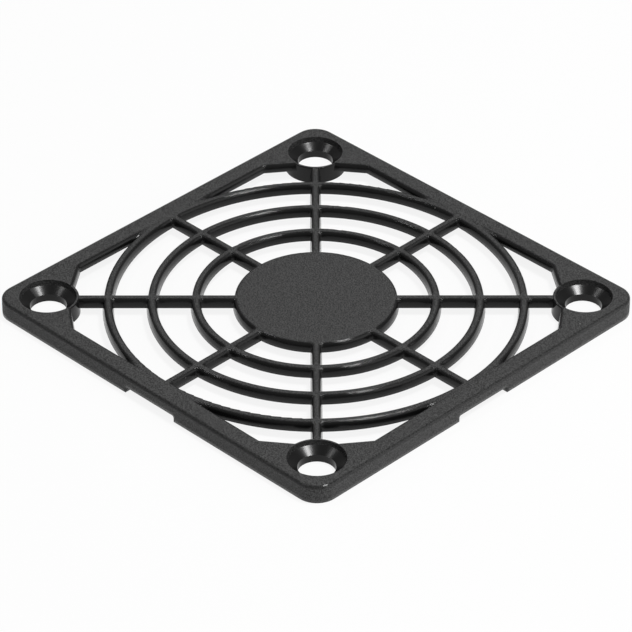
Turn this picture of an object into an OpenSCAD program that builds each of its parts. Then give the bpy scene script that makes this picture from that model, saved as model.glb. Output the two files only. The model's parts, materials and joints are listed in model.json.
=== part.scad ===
// Plastic fan grille: one moulded piece that screws over a square fan, lying with its outside face up.

/* [Frame] */
// Outside length of each side of the square frame
side = 60.4; // [56:0.2:80]
// Height from the edge that rests on the fan to the outside face
height = 2.5; // [2.3:0.1:3.2]
// Radius of the four corners, seen from above
corner_r = 3; // [2:0.5:4]
// Width of the flat face along the middle of each side
rim_w = 2.3; // [1.8:0.1:3]
// Thickness of the frame's face plate
plate_t = 1.1; // [1:0.1:1.4]
// Thickness of the skirt that stands around the outside
skirt_t = 1.3; // [1:0.1:1.6]
// Rounding of the outer top edge
outer_edge_r = 0.3; // [0.1:0.1:0.5]
// Rounding of the frame's inner top edges
inner_edge_r = 0.5; // [0.3:0.1:0.5]

/* [Corner gussets] */
// Distance from the corner to where a gusset leaves the rim, along the side
gusset_reach = 12.8; // [11:0.1:15]
// Angle between a gusset's inner edge and the side
gusset_angle = 37; // [30:1:40]

/* [Screw bosses] */
// Distance from the outer faces to the centre of each screw hole
hole_inset = 5.2; // [4.9:0.1:6]
// Bore for the screw's shank
hole_d = 4.9; // [3.4:0.1:5.2]
// Recess for the screw's head, at the outside face
head_d = 7.6; // [6.6:0.1:8]
// Depth of the wall above the head's seat
head_recess = 0.75; // [0.3:0.05:0.8]
// Draft that narrows this wall towards the seat
head_draft = 10; // [2:1:15]
// Full angle of the conical seat
head_angle = 120; // [100:5:130]
// Wall left around the head recess at the outside face
boss_wall = 0.3; // [0.3:0.05:0.6]
// Draft that widens a boss from its face down
boss_draft = 3; // [1:1:8]
// Rounding of a boss's outer top edge
boss_edge_r = 0.15; // [0.1:0.05:0.2]

/* [Grille] */
// Diameter of the solid disc in the middle
hub_d = 21.4; // [14:0.2:24]
// Rounding of the disc's top edge
hub_edge_r = 0.4; // [0.2:0.05:0.45]
// Number of concentric rings
ring_count = 3; // [1:1:3]
// Distance from one ring to the next
ring_pitch = 5.8; // [4.5:0.1:6]
// Width of a ring at the outside face
ring_w = 0.95; // [0.7:0.05:1.2]
// Number of spokes, evenly spaced from the middle of a side
spoke_count = 8; // [4:4:16]
// Width of a spoke at the outside face
spoke_w = 0.95; // [0.7:0.05:1.4]
// Step from the frame's face down to the face of the bosses, the disc and the rings
web_drop = 0.1; // [0.05:0.05:0.2]
// Further step from there down to the face of the spokes
spoke_drop = 0.05; // [0.05:0.05:0.15]
// Thickness of the disc, the rings and the spokes
web_t = 1.3; // [0.9:0.05:1.4]
// Rounding of the top edges of the rings and the spokes
web_edge_r = 0.25; // [0.1:0.05:0.3]
// Draft that widens the flanks of the grille and of its opening from the outside face down
draft = 12; // [6:1:15]

/* [Notches] */
// Width of the notch in the resting edge at the middle of each side
notch_w = 9; // [5:0.5:12]
// Height of the notch
notch_h = 0.9; // [0.5:0.1:1]
// Rounding of the notch's upper corners
notch_r = 0.3; // [0.1:0.1:0.4]

/* [Hidden] */
$fn = 96;

half = side / 2;
opening_half = half - rim_w;
hole_at = half - hole_inset;
web_face = height - web_drop;
boss_r = head_d / 2 + boss_wall;
seat_r = head_d / 2 - head_recess * tan(head_draft);
seat_depth = (seat_r - hole_d / 2) / tan(head_angle / 2);
outer_ring_r = opening_half - ring_w / 2;
// the frame's edge bars are just wide enough for the rounding on both sides
edge_bar_w = 2 * inner_edge_r;
// where a gusset leaves the rim, and where its edge would reach the diagonal inside the boss
knee = half - gusset_reach;
meet = knee + (opening_half - knee) / (1 + tan(gusset_angle));
// a spoke starts inside the disc
spoke_start = hub_d / 4;
// cuts run this far past the faces that they open
overcut = 1;

// distance from a sharp top edge to where its rounding starts, on the face and on the drafted flank
function rounding_reach(edge_r, angle) = edge_r * tan(45 - angle / 2);

// a spoke ends inside the rim, or over a boss where one stands in its way
function spoke_end(angle) =
    min((half - rim_w / 2) / max(abs(cos(angle)), abs(sin(angle))), hole_at * sqrt(2));

// section of a moulded bar: flat face on y = 0, rounded top edges, flanks that widen downwards
module drafted_section(top_w, depth, edge_r, angle) {
    reach = rounding_reach(edge_r, angle);
    flank = [
        [top_w / 2 - reach, 0],
        [top_w / 2 + reach * sin(angle), -reach * cos(angle)],
        [top_w / 2 + depth * tan(angle), -depth]
    ];
    polygon([
        for (p = flank) p,
        for (i = [2:-1:0]) [-flank[i].x, flank[i].y]
    ]);
    for (s = [-1, 1])
        translate([s * (top_w / 2 - reach), -edge_r])
            circle(edge_r);
}

// a disc or a boss turned from the same section
module drafted_disc(top_r, depth, edge_r, angle) {
    rotate_extrude()
        intersection() {
            drafted_section(2 * top_r, depth, edge_r, angle);
            translate([0, -depth])
                square([2 * top_r + depth, depth]);
        }
}

// a straight bar of that section along +X
module drafted_bar(top_w, depth, edge_r, length) {
    rotate([90, 0, 90])
        linear_extrude(length)
            drafted_section(top_w, depth, edge_r, draft);
}

module rounded_square(width, r) {
    square([width - 2 * r, width], center = true);
    square([width, width - 2 * r], center = true);
    for (x = [-1, 1], y = [-1, 1])
        translate([x, y] * (width / 2 - r))
            circle(r);
}

module at_each_side() {
    for (i = [0:3])
        rotate(90 * i)
            children();
}

// section of the skirt, standing inward from x = 0 with its outer top edge rounded
module skirt_section() {
    translate([-skirt_t, 0])
        square([skirt_t - outer_edge_r, height]);
    translate([-skirt_t, 0])
        square([skirt_t, height - outer_edge_r]);
    translate([-outer_edge_r, height - outer_edge_r])
        circle(outer_edge_r);
}

// one straight stretch of the skirt and the corner after it
module skirt_quarter() {
    translate([half, corner_r - half, 0])
        rotate([90, 0, 180])
            mirror([1, 0, 0])
                linear_extrude(side - 2 * corner_r)
                    skirt_section();
    translate([half - corner_r, half - corner_r, 0])
        rotate_extrude(angle = 90)
            translate([corner_r, 0])
                skirt_section();
}

// the frame's face plate, with an opening that leaves a gusset in each corner
module face_plate() {
    translate([0, 0, height - plate_t])
        linear_extrude(plate_t)
            difference() {
                rounded_square(side - skirt_t, corner_r - skirt_t / 2);
                polygon([
                    for (i = [0:3], p = [[opening_half, knee], [meet, meet], [knee, opening_half]])
                        [p.x * cos(90 * i) - p.y * sin(90 * i), p.x * sin(90 * i) + p.y * cos(90 * i)]
                ]);
            }
}

// rounded, drafted edge that starts at the origin and runs along +X, with the plate on its right
module plate_edge(length) {
    translate([0, rounding_reach(inner_edge_r, draft) - edge_bar_w / 2, height])
        drafted_bar(edge_bar_w, plate_t, inner_edge_r, length);
}

// the rim's edge along one side and the gussets' edges at both its ends
module opening_edges() {
    buried = rim_w / 2 / sin(gusset_angle);
    gusset_length = (meet - knee) / cos(gusset_angle);
    translate([opening_half, -knee - gusset_reach / 2, 0])
        rotate(90)
            plate_edge(2 * knee + gusset_reach);
    for (s = [0, 1])
        mirror([0, s, 0])
            translate([opening_half, knee, 0])
                rotate(90 + gusset_angle)
                    translate([-buried, 0, 0])
                        plate_edge(buried + gusset_length);
}

module frame() {
    at_each_side() {
        skirt_quarter();
        opening_edges();
        translate([hole_at, hole_at, web_face])
            drafted_disc(boss_r, web_face, boss_edge_r, boss_draft);
    }
    face_plate();
}

module grille() {
    translate([0, 0, web_face]) {
        drafted_disc(hub_d / 2, web_t, hub_edge_r, draft);
        for (i = [0:ring_count - 1])
            rotate_extrude()
                translate([outer_ring_r - i * ring_pitch, 0])
                    drafted_section(ring_w, web_t, web_edge_r, draft);
        for (angle = [0:360 / spoke_count:359])
            rotate(angle)
                translate([spoke_start, 0, -spoke_drop])
                    drafted_bar(spoke_w, web_t, web_edge_r, spoke_end(angle) - spoke_start);
    }
}

// bore, conical seat and drafted head recess in one turned cut
module screw_hole() {
    seat_top = height - head_recess;
    rotate_extrude()
        polygon([
            [0, -overcut],
            [hole_d / 2, -overcut],
            [hole_d / 2, seat_top - seat_depth],
            [seat_r, seat_top],
            [head_d / 2 + overcut * tan(head_draft), height + overcut],
            [0, height + overcut]
        ]);
}

// outline of a notch, open at the bottom and rounded at its upper corners
module notch_outline() {
    translate([-notch_w / 2, -overcut])
        square([notch_w, overcut + notch_h - notch_r]);
    translate([notch_r - notch_w / 2, 0])
        square([notch_w - 2 * notch_r, notch_h]);
    for (s = [-1, 1])
        translate([s * (notch_w / 2 - notch_r), notch_h - notch_r])
            circle(notch_r);
}

module notch() {
    translate([half - skirt_t - overcut, 0, 0])
        rotate([90, 0, 90])
            linear_extrude(skirt_t + 2 * overcut)
                notch_outline();
}

module fan_grille() {
    color("#333335")
        difference() {
            union() {
                frame();
                grille();
            }
            at_each_side() {
                translate([hole_at, hole_at, 0])
                    screw_hole();
                notch();
            }
        }
}

fan_grille();
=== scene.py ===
import json
import math

import bpy
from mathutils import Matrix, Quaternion, Vector


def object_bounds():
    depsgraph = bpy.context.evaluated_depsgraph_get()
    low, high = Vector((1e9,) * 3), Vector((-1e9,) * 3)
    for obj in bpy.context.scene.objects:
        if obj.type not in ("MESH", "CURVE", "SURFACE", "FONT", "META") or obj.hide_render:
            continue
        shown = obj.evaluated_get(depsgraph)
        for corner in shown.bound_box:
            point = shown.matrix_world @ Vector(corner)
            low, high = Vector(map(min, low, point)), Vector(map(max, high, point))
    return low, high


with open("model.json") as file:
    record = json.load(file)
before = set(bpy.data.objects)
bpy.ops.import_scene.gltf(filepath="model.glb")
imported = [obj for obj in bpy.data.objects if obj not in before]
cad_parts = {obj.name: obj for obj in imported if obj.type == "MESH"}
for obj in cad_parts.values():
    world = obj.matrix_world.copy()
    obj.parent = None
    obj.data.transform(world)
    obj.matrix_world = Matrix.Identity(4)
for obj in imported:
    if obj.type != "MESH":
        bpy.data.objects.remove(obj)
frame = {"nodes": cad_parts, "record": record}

cad_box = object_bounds()
scene = bpy.context.scene
grille = frame["nodes"]["fan_grille"]
MM = 0.001

# camera, as the photograph was taken: a corner of the grille points at it
VIEW_AZIMUTH = math.radians(44.78)
VIEW_ELEVATION = math.radians(34.98)
VIEW_ROLL = math.radians(0.1)
# it aims at a point that lies this much nearer than the grille's middle, from this distance
VIEW_NEARER = 1.06 * MM
VIEW_DISTANCE = 519.4 * MM
VIEW_CLIP_START = 10 * MM
VIEW_LENS_MM = 224.0
SENSOR_MM = 36.0

# the floor lies a hair below the resting edge, so that no two faces coincide
FLOOR_SIZE = 3
FLOOR_GAP = 0.02 * MM
PAPER_COLOUR = (0.85, 0.85, 0.85, 1)
# share of plain white in the floor that the camera sees: the rest keeps the grille's shadow
FLOOR_GLOW = 0.87
ROOM_COLOUR = (1, 1, 1, 1)
ROOM_STRENGTH = 0.3

# the frame's outline, seen from above, and the rounding of its outer top edge
HALF_SIDE = cad_box[1][0]
CORNER_R = 3.0 * MM
OUTER_EDGE_R = 0.3 * MM

# the screw holes' seats, the recesses above them and the bosses around them
SCREW_HOLES = next(mount for mount in frame["record"]["mounts"] if mount["name"] == "screw_holes")
HOLE_AT = SCREW_HOLES["dims"]["spacing_x_mm"] / 2 * MM
SEAT_R = 3.67 * MM
RECESS_R = 3.8 * MM
BOSS_R = 4.1 * MM

# outside the bosses the edges are shaded softer than the mesh, over this distance
SOFT_EDGE_R = 0.85 * MM
SOFT_SAMPLES = 12

# the matte grain fades over a rounded edge, between these heights of its unit normal
MATTE_ENDS = 0.88
MATTE_FULL = 0.99
# a wall counts as upright where its normal lies lower than the first, and fully below the second
UPRIGHT_STARTS = 0.3
UPRIGHT_FULL = 0.1
# share of the grain that is left on the rounded outer edge and on the recesses' walls; on the recess
# walls it is partly their grain and partly painted reflection, a lighter colour standing in for the light
# these glossy walls mirror
EDGE_MATTE = 0.4
RECESS_GRAIN_AND_PAINTED_REFLECTION = 0.6
# the finish changes over these distances: at a seat or recess, and on each side of the outer edge's start
SEAT_FADE = 0.02 * MM
EDGE_FADE = 0.06 * MM
# the gloss starts sooner over a rounded edge than the colour changes, by this power of the matte share
DULL_POWER = 8

# the plastic: glossy, or matte with a grain of dark and light spots
GLOSS_COLOUR = (0.007, 0.007, 0.007, 1)
GRAIN_DARK = (0.016, 0.016, 0.016, 1)
GRAIN_LIGHT = (0.078, 0.078, 0.078, 1)
GLOSS_ROUGHNESS = 0.12
SEAT_ROUGHNESS = 0.22
MATTE_ROUGHNESS = 0.6
SPECULAR_LEVEL = 0.25

# grain, in cells per metre: at this scale no face lies on a grid plane of the cells, where noise is faint
GRAIN_SCALE = 5900
GRAIN_DARK_AT = 0.37
GRAIN_LIGHT_AT = 0.63
GRAIN_DEPTH = 0.08 * MM
GRAIN_STRENGTH = 0.6

# slow waves, as the flow of the plastic leaves them, and how far the roughness drifts with them
FLOW_SCALE = 350
FLOW_DEPTH = 0.05 * MM
FLOW_STRENGTH = 0.3
FLOW_ROUGHNESS = 0.03

# specks of dust: cells per metre, and the radii between which a speck fades, as shares of a cell
DUST_COLOUR = (0.3, 0.3, 0.29, 1)
DUST_SCALE = 300
DUST_INNER_R = 0.014
DUST_OUTER_R = 0.022


def add_node(tree, kind, inputs=None, **settings):
    """Adds a shader node, with a socket to link or a constant for each named input."""
    made = tree.nodes.new("ShaderNode" + kind)
    for name, value in settings.items():
        setattr(made, name, value)
    for key, value in (inputs or {}).items():
        if isinstance(value, bpy.types.NodeSocket):
            tree.links.new(value, made.inputs[key])
        else:
            made.inputs[key].default_value = value
    return made


def step(tree, value, low, high):
    """Rises smoothly from 0 at low to 1 at high, or falls where low is the greater."""
    inputs = {"Value": value, "From Min": low, "From Max": high}
    return add_node(tree, "MapRange", inputs, interpolation_type="SMOOTHSTEP").outputs["Result"]


def spread(tree, value, low, high):
    """Maps 0 to low and 1 to high."""
    inputs = {"Value": value, "To Min": low, "To Max": high}
    return add_node(tree, "MapRange", inputs).outputs["Result"]


def math_node(tree, operation, a, b):
    return add_node(tree, "Math", {0: a, 1: b}, operation=operation).outputs["Value"]


def vector_node(tree, operation, a, b=(0, 0, 0)):
    return add_node(tree, "VectorMath", {0: a, 1: b}, operation=operation).outputs


def mix_colours(tree, share, first, second):
    return add_node(tree, "MixRGB", {"Fac": share, "Color1": first, "Color2": second}).outputs["Color"]


def noise(tree, spot, scale):
    return add_node(tree, "TexNoise", {"Vector": spot, "Scale": scale, "Detail": 2}).outputs["Fac"]


def new_material(name):
    material = bpy.data.materials.new(name)
    material.use_nodes = True
    material.node_tree.nodes.clear()
    return material, material.node_tree


def soft_normals(tree, from_hole):
    """Normals that turn more gently over an edge than the mesh does, in world and object axes."""
    outside_boss = step(tree, from_hole, BOSS_R, BOSS_R + SOFT_EDGE_R)
    reach = math_node(tree, "MULTIPLY", outside_boss, SOFT_EDGE_R)
    soft = add_node(tree, "Bevel", {"Radius": reach}, samples=SOFT_SAMPLES).outputs["Normal"]
    axes = {"vector_type": "NORMAL", "convert_from": "WORLD", "convert_to": "OBJECT"}
    return soft, add_node(tree, "VectorTransform", {"Vector": soft}, **axes).outputs["Vector"]


def matte_and_painted_reflection_zone(tree, plan, from_hole, normal):
    """1 on the outside face and the outer walls, less on the recesses' walls, where the share is partly
    grain and partly painted reflection that lightens them, 0 everywhere else.
    """
    up = add_node(tree, "SeparateXYZ", {"Vector": normal}).outputs["Z"]
    around_seats = step(tree, from_hole, SEAT_R - SEAT_FADE, SEAT_R)
    face = math_node(tree, "MULTIPLY", step(tree, up, MATTE_ENDS, MATTE_FULL), around_seats)

    within_recess = step(tree, from_hole, RECESS_R + SEAT_FADE, RECESS_R)
    recess = math_node(tree, "MULTIPLY", around_seats, within_recess)
    # the recess walls keep part of the grain: partly their finish, partly painted reflection that
    # lightens their colour
    recess_grain_and_painted_reflection = math_node(tree, "MULTIPLY", recess, RECESS_GRAIN_AND_PAINTED_REFLECTION)

    # distance past the square on which the corners' centres lie
    core = HALF_SIDE - CORNER_R
    beyond = vector_node(tree, "SUBTRACT", plan, (core, core, 0))["Vector"]
    reach = vector_node(tree, "LENGTH", vector_node(tree, "MAXIMUM", beyond)["Vector"])["Value"]
    edge_start = CORNER_R - OUTER_EDGE_R
    outside = step(tree, reach, edge_start - EDGE_FADE, edge_start + EDGE_FADE)
    upright = step(tree, math_node(tree, "ABSOLUTE", up, 0), UPRIGHT_STARTS, UPRIGHT_FULL)
    outer_wall = math_node(tree, "MULTIPLY", outside, spread(tree, upright, EDGE_MATTE, 1))
    return math_node(tree, "MAXIMUM", face, math_node(tree, "MAXIMUM", outer_wall, recess_grain_and_painted_reflection))


def grain_colour(tree, grain):
    ramp = add_node(tree, "ValToRGB", {"Fac": grain})
    dark, light = ramp.color_ramp.elements
    dark.position = GRAIN_DARK_AT
    dark.color = GRAIN_DARK
    light.position = GRAIN_LIGHT_AT
    light.color = GRAIN_LIGHT
    return ramp.outputs["Color"]


def plastic():
    """Black plastic: a spark-eroded grain on the outside, a polished mould's gloss on the flanks."""
    material, tree = new_material("black_plastic")
    spot = add_node(tree, "TexCoord").outputs["Object"]
    # place on one quarter of the grille, seen from above, and the distance from its hole's axis
    folded = vector_node(tree, "ABSOLUTE", spot)["Vector"]
    plan = vector_node(tree, "MULTIPLY", folded, (1, 1, 0))["Vector"]
    from_hole = vector_node(tree, "DISTANCE", plan, (HOLE_AT, HOLE_AT, 0))["Value"]
    soft, own_soft = soft_normals(tree, from_hole)
    matte_and_painted_reflection = matte_and_painted_reflection_zone(tree, plan, from_hole, own_soft)
    grain = noise(tree, spot, GRAIN_SCALE)
    flow = noise(tree, spot, FLOW_SCALE)
    # base colour: gloss or grain, and on the recess walls a lighter grain share that is partly painted
    # reflection
    finish = mix_colours(tree, matte_and_painted_reflection, GLOSS_COLOUR, grain_colour(tree, grain))

    # a few specks of dust lie about, where a cell's point happens to fall on the surface
    speck = add_node(tree, "TexVoronoi", {"Vector": spot, "Scale": DUST_SCALE}).outputs["Distance"]
    dusty = mix_colours(tree, step(tree, speck, DUST_OUTER_R, DUST_INNER_R), finish, DUST_COLOUR)

    # the seats are less glossy than the flanks of the rings and spokes
    in_seat = step(tree, from_hole, BOSS_R, RECESS_R)
    gloss = spread(tree, in_seat, GLOSS_ROUGHNESS, SEAT_ROUGHNESS)
    dull = math_node(tree, "POWER", matte_and_painted_reflection, DULL_POWER)
    roughness = spread(tree, dull, gloss, MATTE_ROUGHNESS)
    drift = spread(tree, flow, -FLOW_ROUGHNESS, FLOW_ROUGHNESS)

    waves = add_node(tree, "Bump", {
        "Height": flow,
        "Strength": FLOW_STRENGTH,
        "Distance": FLOW_DEPTH,
        "Normal": soft,
    })
    grains = add_node(tree, "Bump", {
        "Height": grain,
        "Strength": math_node(tree, "MULTIPLY", dull, GRAIN_STRENGTH),
        "Distance": GRAIN_DEPTH,
        "Normal": waves.outputs["Normal"],
    })
    shader = add_node(tree, "BsdfPrincipled", {
        "Base Color": dusty,
        "Roughness": math_node(tree, "ADD", roughness, drift),
        "Specular IOR Level": SPECULAR_LEVEL,
        "Normal": grains.outputs["Normal"],
    })
    add_node(tree, "OutputMaterial", {"Surface": shader.outputs["BSDF"]})
    return material


def add_camera():
    toward = Vector((math.sin(VIEW_AZIMUTH), -math.cos(VIEW_AZIMUTH), 0))
    back = toward * math.cos(VIEW_ELEVATION) + Vector((0, 0, math.sin(VIEW_ELEVATION)))
    data = bpy.data.cameras.new("camera")
    data.sensor_width = SENSOR_MM
    data.lens = VIEW_LENS_MM
    data.clip_start = VIEW_CLIP_START
    camera = bpy.data.objects.new("camera", data)
    camera.location = toward * VIEW_NEARER + back * VIEW_DISTANCE
    aim = (-back).to_track_quat("-Z", "Y") @ Quaternion((0, 0, 1), VIEW_ROLL)
    camera.rotation_euler = aim.to_euler()
    scene.collection.objects.link(camera)
    scene.camera = camera


def add_softbox(name, place, size, power):
    """A square lamp of this size in metres and power in watts, turned to the grille."""
    data = bpy.data.lights.new(name, "AREA")
    data.size = size
    data.energy = power
    light = bpy.data.objects.new(name, data)
    light.location = place
    light.rotation_euler = (-Vector(place)).to_track_quat("-Z", "Y").to_euler()
    scene.collection.objects.link(light)


def add_floor():
    """White paper that looks white to the camera and in reflections, and keeps the grille's shadow."""
    bpy.ops.mesh.primitive_plane_add(size=FLOOR_SIZE, location=(0, 0, -FLOOR_GAP))
    floor = bpy.context.object
    floor.name = "floor"
    material, tree = new_material("white_sweep")
    paper = add_node(tree, "BsdfDiffuse", {"Color": PAPER_COLOUR})
    glow = add_node(tree, "Emission")
    path = add_node(tree, "LightPath").outputs
    seen = math_node(tree, "MAXIMUM", path["Is Camera Ray"], path["Is Glossy Ray"])
    seen = math_node(tree, "MAXIMUM", seen, path["Is Transmission Ray"])
    share = math_node(tree, "MULTIPLY", seen, FLOOR_GLOW)
    mix = add_node(tree, "MixShader", {0: share, 1: paper.outputs["BSDF"], 2: glow.outputs["Emission"]})
    add_node(tree, "OutputMaterial", {"Surface": mix.outputs["Shader"]})
    floor.data.materials.append(material)


def add_world():
    world = bpy.data.worlds.new("studio")
    scene.world = world
    world.use_nodes = True
    tree = world.node_tree
    tree.nodes.clear()
    room = add_node(tree, "Background", {"Color": ROOM_COLOUR, "Strength": ROOM_STRENGTH})
    add_node(tree, "OutputWorld", {"Surface": room.outputs["Background"]})


add_camera()
add_floor()
add_world()
add_softbox("right_softbox", place=(0.168, 0.137, 0.662), size=0.12, power=3.0)
add_softbox("left_softbox", place=(-0.302, -0.152, 0.613), size=0.07, power=0.42)
add_softbox("right_fill", place=(0.6, 0.2, 0.2), size=0.7, power=2.0)
scene.view_settings.view_transform = "Standard"
grille.data.materials.clear()
grille.data.materials.append(plastic())
